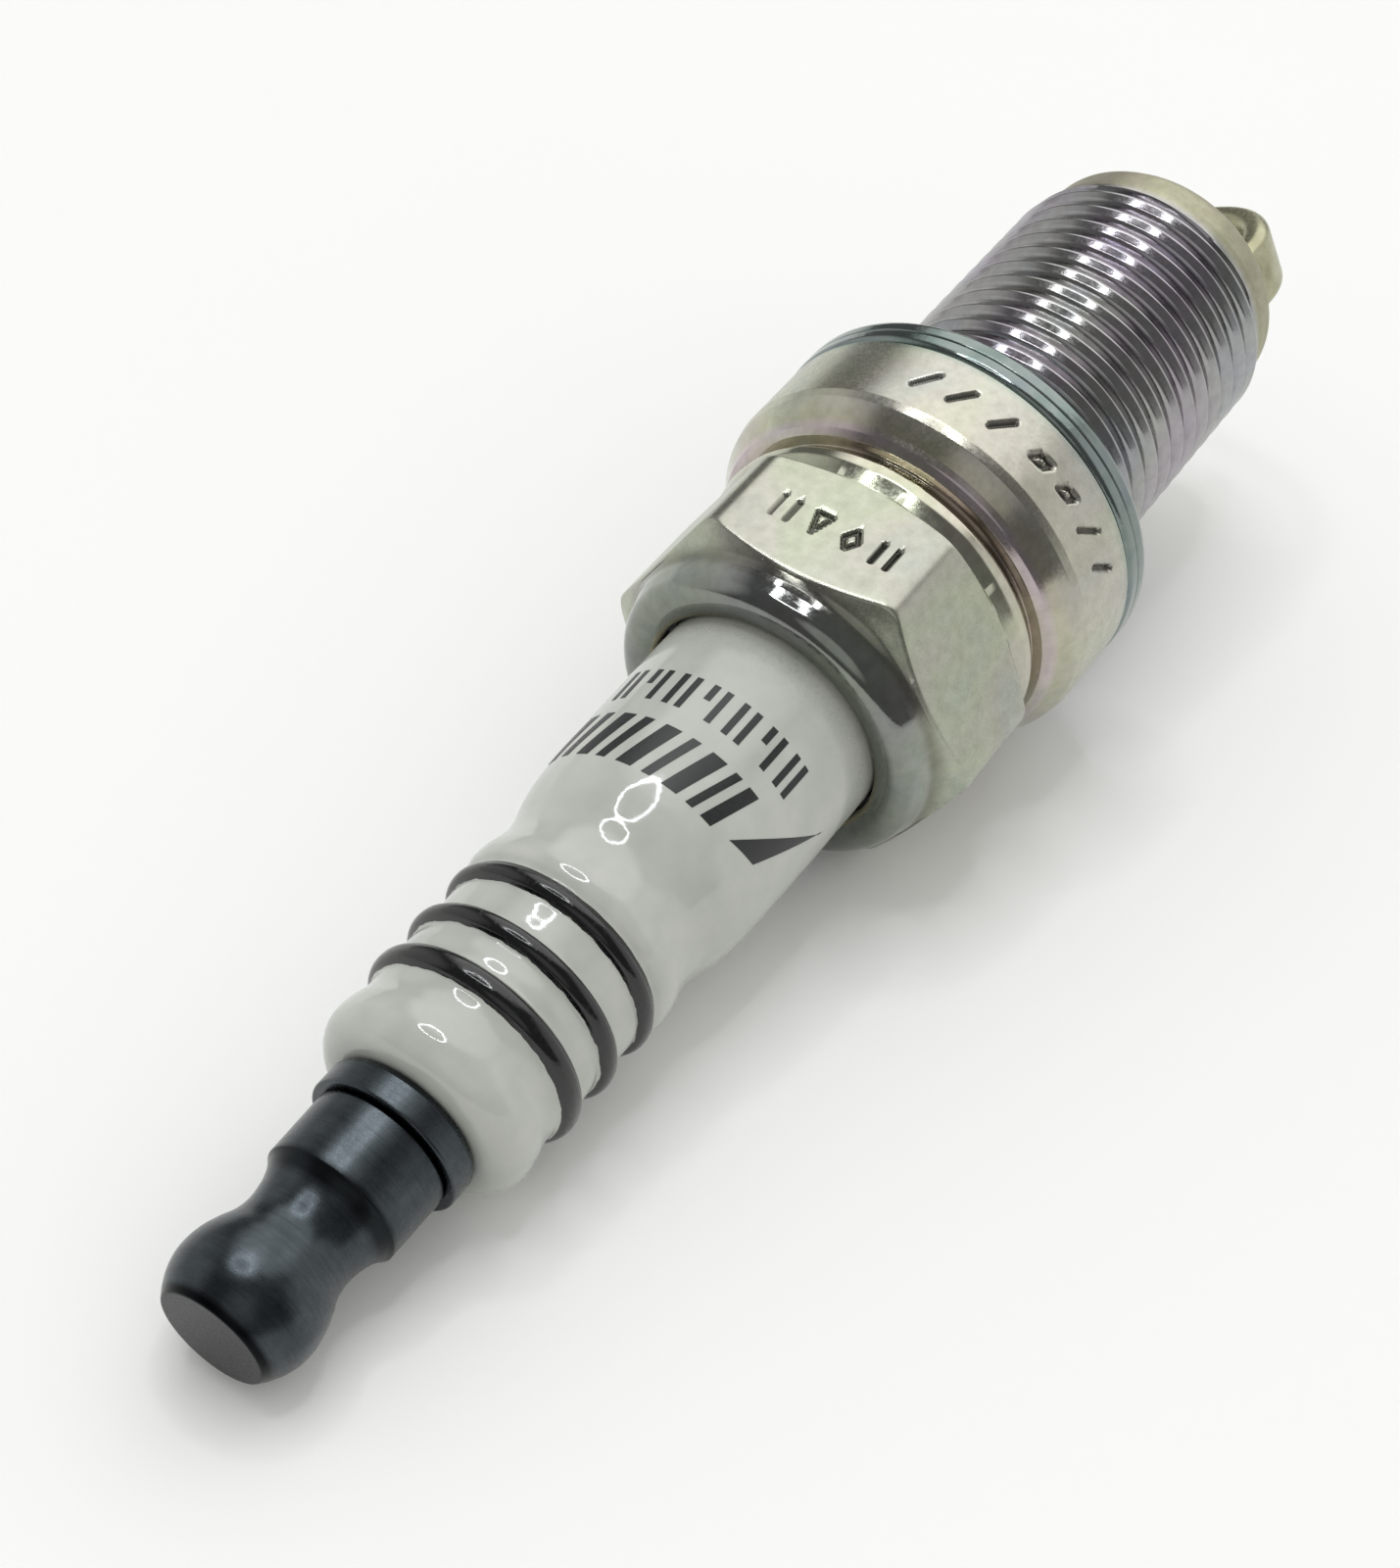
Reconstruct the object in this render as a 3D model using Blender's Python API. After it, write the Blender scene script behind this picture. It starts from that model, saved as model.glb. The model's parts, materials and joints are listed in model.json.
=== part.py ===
"""Spark plug with a 14 mm thread, a 19 mm reach and a 16 mm hexagon, lying on its side.

Every piece is turned about the plug's own axis. Along that axis z is in millimetres from the
sealing face under the gasket: positive towards the terminal, negative towards the firing end.
At the end the whole plug is laid down on its collar and its last rib, with +X towards the
firing end and +Z up.
"""

import math

import bmesh
import bpy
from mathutils import Matrix, Vector

MM = 0.001
SEAM = 0.05  # gap between pieces that touch
FINE_SIDES = 36  # facets round the shell, ceramic, gasket and terminal nut
SMALL_SIDES = 18  # facets round the pieces inside
SHARP_EDGE = 28  # degrees between faces, above which their edge is shaded sharp

# Driving dimensions
REACH = 19.0  # sealing face to the shell's end
TERMINAL_END = 53.0  # sealing face to the terminal's end
THREAD_CREST = 6.97
THREAD_ROOT = 6.2
THREAD_PITCH = 1.25
RELIEF_RADIUS = 6.05
HEX_FLAT = 8.0  # half of the width across flats
HEX_CORNER = HEX_FLAT / math.cos(math.radians(30))
HEX_REAR, HEX_FRONT = 9.3, 15.2  # where the middle of each flat ends
CHAMFER_RISE = math.tan(math.radians(30))
COLLAR_RADIUS = 9.45
COLLAR_EDGE = 5.8
GASKET_RADIUS = 9.5
GASKET_HEIGHT = 1.6
GASKET_SHEET = 0.35
BORE_RADIUS = 6.4  # shell's bore round the ceramic's big end
FIRING_BORE = 4.9
LIP_RADIUS = 5.62
LIP_END = 17.15
BODY_RADIUS = 5.5  # ceramic where it leaves the lip
RIB_CREST = 5.05
RIB_ROOT = 4.62
LAST_RIB_RADIUS = 4.85
LAST_RIB_EDGE = 40.3
CERAMIC_END = 41.55
CERAMIC_TIP = -19.6
SHAFT_BORE = 2.0  # ceramic's bore for the stem, seals and resistor
WIRE_BORE = 1.3  # ceramic's bore for the centre electrode
BORE_STEP = -2.6
FLANGE_RADIUS = 3.45
FLANGE_END = 43.1
STUD_CREST = 1.95
STUD_ROOT = 1.6
STUD_PITCH = 0.7
STUD_END = 50.0
NUT_BORE = 2.02
NUT_BORE_END = 50.6
ELECTRODE_RADIUS = 1.2
ELECTRODE_TIP = -20.1
CORE_RADIUS = 0.7
TIP_RADIUS = 0.3
TIP_END = -20.75
SPARK_GAP = 0.9
STRAP_WIDTH = 3.4
STRAP_THICKNESS = 1.4
STRAP_OUTER = 6.05  # strap's outer face, from the axis
STRAP_BEND = 3.9  # outer radius of the strap's bend
STRAP_AZIMUTH = -62.0  # degrees from the upper flat, towards the front


def material(name, colour, roughness, metallic, coat=0.0):
    made = bpy.data.materials.new(name)
    made.use_nodes = True
    made.diffuse_color = (*colour, 1)
    shader = made.node_tree.nodes["Principled BSDF"]
    shader.inputs["Base Color"].default_value = (*colour, 1)
    shader.inputs["Roughness"].default_value = roughness
    shader.inputs["Metallic"].default_value = metallic
    shader.inputs["Coat Weight"].default_value = coat
    return made


def point(z, radius, azimuth):
    return Vector((radius * math.cos(azimuth), radius * math.sin(azimuth), z)) * MM


def arc(centre, radius, start, end, steps):
    """Points (z, radius) on an arc in the outline's plane, by angles in degrees from +z."""
    angles = [math.radians(start + (end - start) * i / steps) for i in range(steps + 1)]
    return [(centre[0] + radius * math.cos(a), centre[1] + radius * math.sin(a)) for a in angles]


def hexagon_limit(z, radius, azimuth):
    """The radius of a turned face there once the hexagon's six flats are cut."""
    if not HEX_REAR <= z <= HEX_FRONT:
        return radius
    sixth = math.pi / 3
    off_flat = (azimuth + sixth / 2) % sixth - sixth / 2
    return min(radius, HEX_FLAT / math.cos(off_flat))


class Thread:
    """A right-hand thread between two plain rings, each (z, radius), the lower one first."""

    def __init__(self, low, high, pitch, crest, root):
        self.low, self.high = low, high
        self.pitch, self.crest, self.root = pitch, crest, root

    def radius(self, z, on_crest):
        """Leads of 45 degrees run in from the rings at both ends."""
        leads = [radius + abs(z - end) for end, radius in (self.low, self.high)]
        return min([self.crest if on_crest else self.root] + leads)

    def add_to(self, mesh, sides):
        """Rows of points along the helix, crest and root in turn. A turn on, row k meets row k + 2."""
        length = self.high[0] - self.low[0]
        rows = []
        for k in range(math.ceil(2 * length / self.pitch) + 6):
            row = []
            for i in range(sides):
                z = self.low[0] + self.pitch * (k / 2 - 1 + i / sides)
                z = min(max(z, self.low[0]), self.high[0])
                place = point(z, self.radius(z, k % 2 == 0), 2 * math.pi * i / sides)
                row.append(mesh.verts.new(place))
            rows.append(row)
        for k in range(len(rows) - 3):
            for i in range(sides):
                ahead = k + 2 if i == sides - 1 else k
                after = (i + 1) % sides
                mesh.faces.new([rows[k][i], rows[ahead][after], rows[ahead + 1][after], rows[k + 1][i]])


def ring(mesh, z, radius, sides, limit):
    if radius == 0:
        return [mesh.verts.new(point(z, 0, 0))]
    turns = [2 * math.pi * i / sides for i in range(sides)]
    return [mesh.verts.new(point(z, limit(z, radius, a) if limit else radius, a)) for a in turns]


def bridge(mesh, first, second):
    if len(first) == 1:
        first, second = second, first
    for i in range(len(first)):
        after = (i + 1) % len(first)
        if len(second) == 1:
            mesh.faces.new([first[i], first[after], second[0]])
        else:
            mesh.faces.new([first[i], first[after], second[after], second[i]])


def finish(name, mesh, look, axis):
    """Close and face the surface outwards, and hang the piece on the plug's axis."""
    bmesh.ops.remove_doubles(mesh, verts=mesh.verts, dist=1e-6)
    bmesh.ops.dissolve_degenerate(mesh, edges=mesh.edges, dist=1e-7)
    bmesh.ops.triangulate(mesh, faces=mesh.faces)
    bmesh.ops.recalc_face_normals(mesh, faces=mesh.faces)
    if mesh.calc_volume(signed=True) < 0:
        bmesh.ops.reverse_faces(mesh, faces=mesh.faces)
    data = bpy.data.meshes.new(name)
    mesh.to_mesh(data)
    mesh.free()
    data.materials.append(look)
    data.shade_smooth()
    data.set_sharp_from_angle(angle=math.radians(SHARP_EDGE))
    piece = bpy.data.objects.new(name, data)
    bpy.context.collection.objects.link(piece)
    piece.parent = axis
    return piece


def turned(name, look, axis, outlines, sides, thread=None, limit=None):
    """A solid of revolution. Each outline, of (z, radius) points, ends on the axis, at the thread
    or where it began."""
    mesh = bmesh.new()
    for outline in outlines:
        rings = [ring(mesh, z, radius, sides, limit) for z, radius in outline]
        if not thread and len(rings[0]) > 1:
            rings.append(rings[0])
        for first, second in zip(rings, rings[1:]):
            bridge(mesh, first, second)
    if thread:
        thread.add_to(mesh, sides)
    return finish(name, mesh, look, axis)


# The shell and what is fixed to it


def make_shell(axis):
    nose = (-REACH + 0.7, 5.95)
    relief = (-0.9, RELIEF_RADIUS)
    inside = [
        nose,
        (-REACH + 0.25, 5.75),
        (-REACH, 5.4),
        (-REACH, FIRING_BORE - 0.2),
        (-REACH + 0.3, FIRING_BORE),
        (-11.4, FIRING_BORE),
        (-10.2, 3.75),
        (-9.4, 3.75),
        (-8.6, 4.5),
        (1.4, 4.5),
        (3.4, BORE_RADIUS),
        (15.6, BORE_RADIUS),
        (16.3, 6.1),
        (16.7, LIP_RADIUS),
    ]
    lip = [(LIP_END - 0.15, LIP_RADIUS)] + arc((LIP_END - 0.8, 6.75), 0.8, 0, 75, 3)
    chamfer = [(height, HEX_FLAT + height / CHAMFER_RISE) for height in (0, 0.3)]
    chamfer += [((HEX_CORNER - HEX_FLAT) * CHAMFER_RISE, HEX_CORNER)]
    hexagon = [(HEX_FRONT - height, radius) for height, radius in chamfer]
    hexagon += [(HEX_REAR + height, radius) for height, radius in reversed(chamfer)]
    collar = [
        (8.3, 8.15),
        (7.5, 8.05),
        (7.25, 7.95),
        (7.05, 8.4),
        (6.5, 9.1),
        (COLLAR_EDGE, COLLAR_RADIUS),
        (GASKET_HEIGHT + 0.2, COLLAR_RADIUS),
        (GASKET_HEIGHT, COLLAR_RADIUS - 0.2),
        (GASKET_HEIGHT, RELIEF_RADIUS),
        relief,
    ]
    thread = Thread(nose, relief, THREAD_PITCH, THREAD_CREST, THREAD_ROOT)
    plated = material("plated_steel", (0.56, 0.56, 0.5), 0.28, 1.0)
    outline = inside + lip + hexagon + collar
    return turned("shell", plated, axis, [outline], FINE_SIDES, thread, hexagon_limit)


def strap_path():
    """The strap's outer face as (z, distance from the axis), from the weld to the free end."""
    end = TIP_END - SPARK_GAP - STRAP_THICKNESS
    centre = (end + STRAP_BEND, STRAP_OUTER - STRAP_BEND)
    bend = arc(centre, STRAP_BEND, 90, 180, 6)
    return [(-REACH - SEAM, STRAP_OUTER)] + bend + [(end, -ELECTRODE_RADIUS)]


def make_ground_electrode(axis):
    outer = strap_path()
    inner_bend = STRAP_BEND - STRAP_THICKNESS
    end, free = outer[-1]
    inner = [(outer[0][0], STRAP_OUTER - STRAP_THICKNESS)]
    inner += arc((end + STRAP_BEND, STRAP_OUTER - STRAP_BEND), inner_bend, 90, 180, 6)
    inner += [(end + STRAP_THICKNESS, free)]
    azimuth = math.radians(STRAP_AZIMUTH)
    out = Vector((math.cos(azimuth), math.sin(azimuth), 0))
    aside = Vector((-math.sin(azimuth), math.cos(azimuth), 0))
    mesh = bmesh.new()
    rows = []
    for (z, far), (inner_z, near) in zip(outer, inner):
        corners = []
        for side, height, distance in ((-1, z, far), (1, z, far), (1, inner_z, near), (-1, inner_z, near)):
            place = out * distance + aside * side * STRAP_WIDTH / 2 + Vector((0, 0, height))
            corners.append(mesh.verts.new(place * MM))
        rows.append(corners)
    for first, second in zip(rows, rows[1:]):
        bridge(mesh, first, second)
    mesh.faces.new(rows[0])
    mesh.faces.new(rows[-1])
    nickel = material("ground_nickel_alloy", (0.5, 0.5, 0.44), 0.36, 1.0)
    return finish("ground_electrode", mesh, nickel, axis)


def make_seat_gasket(axis):
    """Folded sheet: two rounded layers with an open fold between them on the inner side."""
    inner, outer, sheet = 6.55, GASKET_RADIUS, GASKET_SHEET
    top = GASKET_HEIGHT - SEAM
    middle = top / 2
    outline = [
        (0, inner + 0.4),
        (0, outer - 0.4),
        (0.2, outer - 0.1),
        (middle - 0.15, outer),
        (middle, outer - 0.15),
        (middle + 0.15, outer),
        (top - 0.2, outer - 0.1),
        (top, outer - 0.4),
        (top, inner + 0.4),
        (top - 0.2, inner),
        (top - sheet, inner + 0.5),
        (top - sheet, outer - 0.7),
        (sheet, outer - 0.7),
        (sheet, inner + 0.5),
        (0.2, inner),
    ]
    tinned = material("gasket_steel", (0.5, 0.57, 0.54), 0.3, 1.0)
    return turned("seat_gasket", tinned, axis, [outline], FINE_SIDES)


# The ceramic and what packs it into the shell


def rib(start, end):
    """A rounded rib between two roots."""
    side = (end - start) * 0.27
    return [(start, RIB_ROOT), (start + side, RIB_CREST), (end - side, RIB_CREST), (end, RIB_ROOT)]


def make_insulator(axis):
    nose = [
        (BORE_STEP - 0.6, WIRE_BORE),
        (CERAMIC_TIP, WIRE_BORE),
        (CERAMIC_TIP, 1.75),
        (CERAMIC_TIP + 0.3, 2.05),
        (-11.0, 3.0),
        (-9.6, 3.5),
        (-8.9, 3.65),
        (-7.9, 4.35),
        (1.7, 4.35),
        (3.6, 6.2),
        (11.0, 6.2),
        (12.0, BODY_RADIUS),
    ]
    body = [(20.0, BODY_RADIUS), (23.5, 5.42), (26.5, 5.1), (28.6, 4.78), (29.6, 4.82)]
    first_rib = [(30.4, 5.0), (31.0, 5.1), (31.5, 4.95)]
    ribs = rib(31.7, 33.1) + rib(34.1, 35.8) + rib(36.5, 38.3)
    last_rib = [(39.0, 4.65), (39.6, LAST_RIB_RADIUS), (LAST_RIB_EDGE, LAST_RIB_RADIUS)]
    last_rib += [(40.9, 4.6), (41.35, 4.1), (CERAMIC_END, 3.4)]
    bore = [(CERAMIC_END, SHAFT_BORE), (BORE_STEP, SHAFT_BORE)]
    glazed = material("glazed_alumina", (0.83, 0.83, 0.8), 0.16, 0.0, coat=0.6)
    outline = nose + body + first_rib + ribs + last_rib + bore
    return turned("insulator", glazed, axis, [outline], FINE_SIDES)


def make_lower_packing_washer(axis):
    """A washer that follows the 45 degree ledge of the shell and shoulder of the ceramic."""
    outline = [(-9.15, 3.8), (-8.62, 4.3), (-8.3, 4.3), (-8.3, 4.1), (-8.8, 3.8)]
    steel = material("packing_steel", (0.45, 0.45, 0.46), 0.45, 1.0)
    return turned("lower_packing_washer", steel, axis, [outline], FINE_SIDES)


def make_packing_ring(name, z, axis):
    """A wire ring in the gap between ceramic and shell."""
    wire, middle = 0.4, (BODY_RADIUS + BORE_RADIUS) / 2
    outline = arc((z, middle), wire, 0, 315, 7)
    steel = material(name + "_steel", (0.42, 0.42, 0.44), 0.5, 1.0)
    return turned(name, steel, axis, [outline], FINE_SIDES)


def make_talc_fill(axis):
    inner, outer = BODY_RADIUS + SEAM, BORE_RADIUS - SEAM
    outline = [(13.2, inner), (13.2, outer), (14.7, outer), (14.7, inner)]
    talc = material("pressed_talc", (0.78, 0.77, 0.72), 0.9, 0.0)
    return turned("talc_fill", talc, axis, [outline], FINE_SIDES)


# The centre line, from the terminal to the iridium tip


def make_terminal_nut(axis):
    start = FLANGE_END + SEAM
    outline = [
        (NUT_BORE_END + 0.5, 0),
        (NUT_BORE_END, NUT_BORE),
        (start, NUT_BORE),
        (start, 3.0),
        (start + 0.15, 3.1),
        (46.1, 3.02),
        (46.6, 2.85),
        (47.3, 2.55),
        (48.2, 2.42),
        (49.2, 2.72),
        (50.2, 3.07),
        (51.2, 3.14),
        (52.1, 2.98),
        (52.8, 2.6),
        (TERMINAL_END, 2.3),
        (TERMINAL_END, 0),
    ]
    dark = material("dark_plated_terminal", (0.1, 0.11, 0.12), 0.34, 1.0)
    return turned("terminal_nut", dark, axis, [outline], FINE_SIDES)


def make_terminal_stud(axis):
    top = (STUD_END - 0.4, STUD_ROOT)
    under = (FLANGE_END + 0.2, STUD_ROOT)
    threaded_end = [(STUD_END, 0), (STUD_END, STUD_ROOT - 0.3), top]
    stem = [
        under,
        (FLANGE_END, STUD_ROOT),
        (FLANGE_END, FLANGE_RADIUS - 0.25),
        (FLANGE_END - 0.15, FLANGE_RADIUS),
        (CERAMIC_END + 0.4, FLANGE_RADIUS),
        (CERAMIC_END + SEAM, FLANGE_RADIUS - 0.2),
        (CERAMIC_END + SEAM, 1.6),
        (26.0, 1.6),
        (25.5, 1.75),
        (21.0, 1.75),
        (20.5, 1.5),
        (20.5, 0),
    ]
    thread = Thread(under, top, STUD_PITCH, STUD_CREST, STUD_ROOT)
    steel = material("stud_steel", (0.14, 0.15, 0.16), 0.38, 1.0)
    return turned("terminal_stud", steel, axis, [threaded_end, stem], SMALL_SIDES, thread)


def make_upper_glass_seal(axis):
    outer = SHAFT_BORE - SEAM
    outline = [(17.1, 0), (17.1, outer), (25.0, outer), (25.0, 1.85), (20.4, 1.85), (20.4, 0)]
    glass = material("upper_conductive_glass", (0.12, 0.13, 0.15), 0.3, 0.2)
    return turned("upper_glass_seal", glass, axis, [outline], SMALL_SIDES)


def make_rod(name, start, end, look, axis):
    """A plain filling of the ceramic's bore."""
    outer = SHAFT_BORE - SEAM
    outline = [(start, 0), (start, outer), (end, outer), (end, 0)]
    return turned(name, look, axis, [outline], SMALL_SIDES)


def make_center_electrode(axis):
    """Nickel-alloy jacket: a head that rests on the ceramic's step, and a long blind sleeve."""
    wall = CORE_RADIUS + SEAM
    outline = [
        (-17.5, 0),
        (-17.5, wall),
        (-1.4, wall),
        (-1.4, 1.7),
        (BORE_STEP + SEAM, 1.85),
        (-3.1, ELECTRODE_RADIUS),
        (-19.7, ELECTRODE_RADIUS),
        (ELECTRODE_TIP + 0.1, 0.5),
        (ELECTRODE_TIP, 0.4),
        (ELECTRODE_TIP, 0),
    ]
    nickel = material("centre_nickel_alloy", (0.52, 0.51, 0.47), 0.4, 1.0)
    return turned("center_electrode", nickel, axis, [outline], SMALL_SIDES)


def make_center_electrode_core(axis):
    outline = [(-17.4, 0), (-17.4, CORE_RADIUS), (-1.45, CORE_RADIUS), (-1.45, 0)]
    copper = material("copper_core", (0.72, 0.38, 0.22), 0.35, 1.0)
    return turned("center_electrode_core", copper, axis, [outline], SMALL_SIDES)


def make_iridium_tip(axis):
    start = ELECTRODE_TIP - SEAM
    outline = [(start, 0), (start, TIP_RADIUS), (TIP_END, TIP_RADIUS), (TIP_END, 0)]
    iridium = material("iridium", (0.75, 0.75, 0.73), 0.25, 1.0)
    return turned("iridium_tip", iridium, axis, [outline], SMALL_SIDES)


def lay_down(axis):
    """Rest the plug on its collar and its last rib, and centre its box over the origin."""
    tilt = math.atan2(COLLAR_RADIUS - LAST_RIB_RADIUS, LAST_RIB_EDGE - COLLAR_EDGE)
    towards_terminal = Vector((-math.cos(tilt), 0, -math.sin(tilt)))
    upper_flat = Vector((-math.sin(tilt), 0, math.cos(tilt)))
    turn = Matrix((upper_flat, Vector((0, 1, 0)), towards_terminal)).transposed().to_4x4()
    corners = [turn @ v.co for piece in axis.children for v in piece.data.vertices]
    low = Vector([min(c[i] for c in corners) for i in range(3)])
    high = Vector([max(c[i] for c in corners) for i in range(3)])
    shift = Vector((-(low.x + high.x) / 2, -(low.y + high.y) / 2, -low.z))
    axis.matrix_world = Matrix.Translation(shift) @ turn


def build():
    for old in list(bpy.data.objects):
        bpy.data.objects.remove(old)
    axis = bpy.data.objects.new("plug_axis", None)
    bpy.context.collection.objects.link(axis)

    make_shell(axis)
    make_ground_electrode(axis)
    make_seat_gasket(axis)

    make_insulator(axis)
    make_lower_packing_washer(axis)
    make_packing_ring("lower_packing_ring", 12.75, axis)
    make_talc_fill(axis)
    make_packing_ring("upper_packing_ring", 15.15, axis)

    make_terminal_nut(axis)
    make_terminal_stud(axis)
    make_upper_glass_seal(axis)
    carbon = material("resistor_composite", (0.09, 0.09, 0.1), 0.8, 0.0)
    make_rod("resistor", 3.1, 17.05, carbon, axis)
    glass = material("lower_conductive_glass", (0.14, 0.14, 0.15), 0.3, 0.2)
    make_rod("lower_glass_seal", -1.35, 3.05, glass, axis)
    make_center_electrode(axis)
    make_center_electrode_core(axis)
    make_iridium_tip(axis)

    lay_down(axis)


build()
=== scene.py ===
"""Looks for a spark plug with a 14 mm thread and a 16 mm hexagon, lying on a white surface.

Shapes are in millimetres in the plug's own frame. Its z runs along the plug's axis from the sealing
face under the gasket, positive towards the terminal, and its x points out of the hexagon's upper
flat. Azimuths are in degrees from x towards y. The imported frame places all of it.
"""

import json
import math

import bmesh
import bpy
import numpy as np
from mathutils import Matrix, Vector


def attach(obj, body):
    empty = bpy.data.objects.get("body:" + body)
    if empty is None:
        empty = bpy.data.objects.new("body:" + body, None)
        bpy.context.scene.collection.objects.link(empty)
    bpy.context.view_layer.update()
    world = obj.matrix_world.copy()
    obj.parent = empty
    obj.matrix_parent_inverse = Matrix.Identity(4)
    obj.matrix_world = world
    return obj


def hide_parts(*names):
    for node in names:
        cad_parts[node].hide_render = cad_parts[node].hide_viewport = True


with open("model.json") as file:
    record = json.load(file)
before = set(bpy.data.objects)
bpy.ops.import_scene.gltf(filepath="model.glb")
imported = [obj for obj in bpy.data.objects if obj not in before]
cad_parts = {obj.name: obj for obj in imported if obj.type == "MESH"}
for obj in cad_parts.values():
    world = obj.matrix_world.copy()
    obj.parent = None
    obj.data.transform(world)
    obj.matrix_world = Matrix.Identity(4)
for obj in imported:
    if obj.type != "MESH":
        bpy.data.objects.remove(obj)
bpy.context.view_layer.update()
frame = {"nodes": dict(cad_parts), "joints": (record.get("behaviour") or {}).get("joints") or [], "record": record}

MM = 0.001

# Camera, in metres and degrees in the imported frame
CAMERA_PLACE = Vector((-0.0820, -0.0408, 0.0907))
CAMERA_TARGET = Vector((-0.0031, 0.0019, 0.0039))
CAMERA_ROLL = 7.9
CAMERA_LENS = 65.25  # on a 36 mm long side

# Shell
REACH = 19.0
THREAD_LOW, THREAD_HIGH = (-16.5, 6.5), (-0.9, 6.05)
THREAD_PITCH = 1.25
THREAD_CREST = 6.97
THREAD_ROOT = 6.28
HEX_FLAT = 8.0
HEX_CORNER_ROUND = 1.3
HEX_REAR, HEX_FRONT = 9.3, 15.2
CHAMFER_RISE = math.tan(math.radians(30))
COLLAR_RADIUS = 9.45
COLLAR_EDGE = 5.8
BORE_RADIUS = 6.4
NOSE_BORE = 4.9
LIP_CENTRE = (16.15, 6.55)
LIP_ROUND = 1.0
LIP_RADIUS = 5.62

# Stamped marks on the hexagon's upper flat and round the collar
MARKED_FROM, MARKED_TO = -82.0, 20.0  # azimuths that get dense columns
STAMP_DEPTH = 0.2
HEX_MARKS_Z, HEX_STROKE = 12.3, 0.105
COLLAR_MARKS_Z, COLLAR_STROKE = 3.5, 0.13

# Gasket and ground strap
GASKET_RADIUS = 9.5
GASKET_INNER = 6.55
GASKET_TOP = 1.55
STRAP_WIDTH = 3.4
STRAP_THICKNESS = 1.4
STRAP_OUTER = 6.05
STRAP_BEND = 3.9
STRAP_AZIMUTH = -62.0
STRAP_TIP_Z = -23.05
STRAP_PAST_AXIS = 1.15
STRAP_SUNK = 0.6  # how far its foot is sunk into the nose

# Ceramic and terminal
BODY_RADIUS = 5.5
CERAMIC_TIP = -19.6
BEADS = ((32.37, 0.47), (34.87, 0.48), (37.31, 0.58))  # each black bead's middle and half width
STUD_CREST, STUD_ROOT, STUD_PITCH = 1.95, 1.6, 0.7
TERMINAL_END = 53.0

WELD_DISTANCE = 2e-8  # in metres: points this close are one


def plug_matrix():
    """From the plug's own frame, in metres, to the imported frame."""
    spin = next(j for j in frame["joints"] if j["name"] == "gasket_spin")
    record = frame["record"]
    mounts = record.get("mounts") or record["behaviour"]["mounts"]
    upper = next(m for m in mounts if m["name"] == "hex_flat_upper")
    x = Vector(upper["axis"]).normalized()
    z = -Vector(spin["axis"]).normalized()
    turn = Matrix((x, z.cross(x), z)).transposed().to_4x4()
    return Matrix.Translation(Vector(spin["pos_m"])) @ turn


PLUG = plug_matrix()


# Outlines, as lists of (z, radius)


def fillet(corners, steps=6, support=0.05):
    """A polyline whose corners, each (z, radius, rounding), are rounded off."""
    made = []
    for i, (z, r, rounding) in enumerate(corners):
        here = np.array((z, r), float)
        if not rounding or i in (0, len(corners) - 1):
            made.append(here)
            continue
        before = np.array(corners[i - 1][:2], float) - here
        after = np.array(corners[i + 1][:2], float) - here
        long_before, long_after = np.linalg.norm(before), np.linalg.norm(after)
        before, after = before / long_before, after / long_after
        half = math.acos(np.clip(before @ after, -1, 1)) / 2
        cut = min(rounding / math.tan(half), 0.45 * long_before, 0.45 * long_after)
        made.append(here + before * min(cut + support, 0.48 * long_before))
        for t in np.linspace(0, 1, steps):
            made.append(here + before * cut * (1 - t) ** 2 + after * cut * t**2)
        made.append(here + after * min(cut + support, 0.48 * long_after))
    return [tuple(p) for p in made]


def smooth(points, spacing=0.12):
    """A curve through all of the points."""
    p = np.array(points, float)
    t = np.concatenate([[0], np.cumsum(np.linalg.norm(np.diff(p, axis=0), axis=1))])
    slope = np.empty_like(p)
    slope[1:-1] = (p[2:] - p[:-2]) / (t[2:] - t[:-2])[:, None]
    slope[0], slope[-1] = (p[1] - p[0]) / t[1], (p[-1] - p[-2]) / (t[-1] - t[-2])
    made = [p[0]]
    for i in range(len(p) - 1):
        span = t[i + 1] - t[i]
        for u in np.linspace(0, 1, max(2, math.ceil(span / spacing)) + 1)[1:]:
            made.append(
                (2 * u**3 - 3 * u**2 + 1) * p[i]
                + (u**3 - 2 * u**2 + u) * span * slope[i]
                + (3 * u**2 - 2 * u**3) * p[i + 1]
                + (u**3 - u**2) * span * slope[i + 1]
            )
    return [tuple(q) for q in made]


def arc(centre, radius, start, end, steps):
    """Points on an arc in the outline's plane, by angles in degrees from +z."""
    angles = np.radians(np.linspace(start, end, steps + 1))
    return [(centre[0] + radius * math.cos(a), centre[1] + radius * math.sin(a)) for a in angles]


def densify(points, spacing):
    """The same polyline with points no further apart than spacing."""
    made = [points[0]]
    for first, second in zip(points, points[1:]):
        steps = max(1, math.ceil(math.dist(first, second) / spacing))
        for i in range(1, steps + 1):
            made.append(tuple(a + (b - a) * i / steps for a, b in zip(first, second)))
    return made


# Meshes


def add_object(name, data):
    made = bpy.data.objects.new(name, data)
    bpy.context.scene.collection.objects.link(made)
    return made


def even_columns(count):
    return np.linspace(0, 360, count, endpoint=False)


def grid(z, r, azimuths):
    """Points of a turned surface. z and r hold one row per ring and one column per azimuth."""
    a = np.radians(azimuths)[None, :]
    z, r = np.broadcast_arrays(np.asarray(z, float), np.asarray(r, float))
    return np.stack([r * np.cos(a), r * np.sin(a), z * np.ones_like(a)], axis=-1)


def turned_grid(outline, azimuths):
    line = np.array(outline, float)
    shape = (len(line), len(azimuths))
    return grid(
        np.broadcast_to(line[:, :1], shape), np.broadcast_to(line[:, 1:], shape), azimuths
    )


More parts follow.
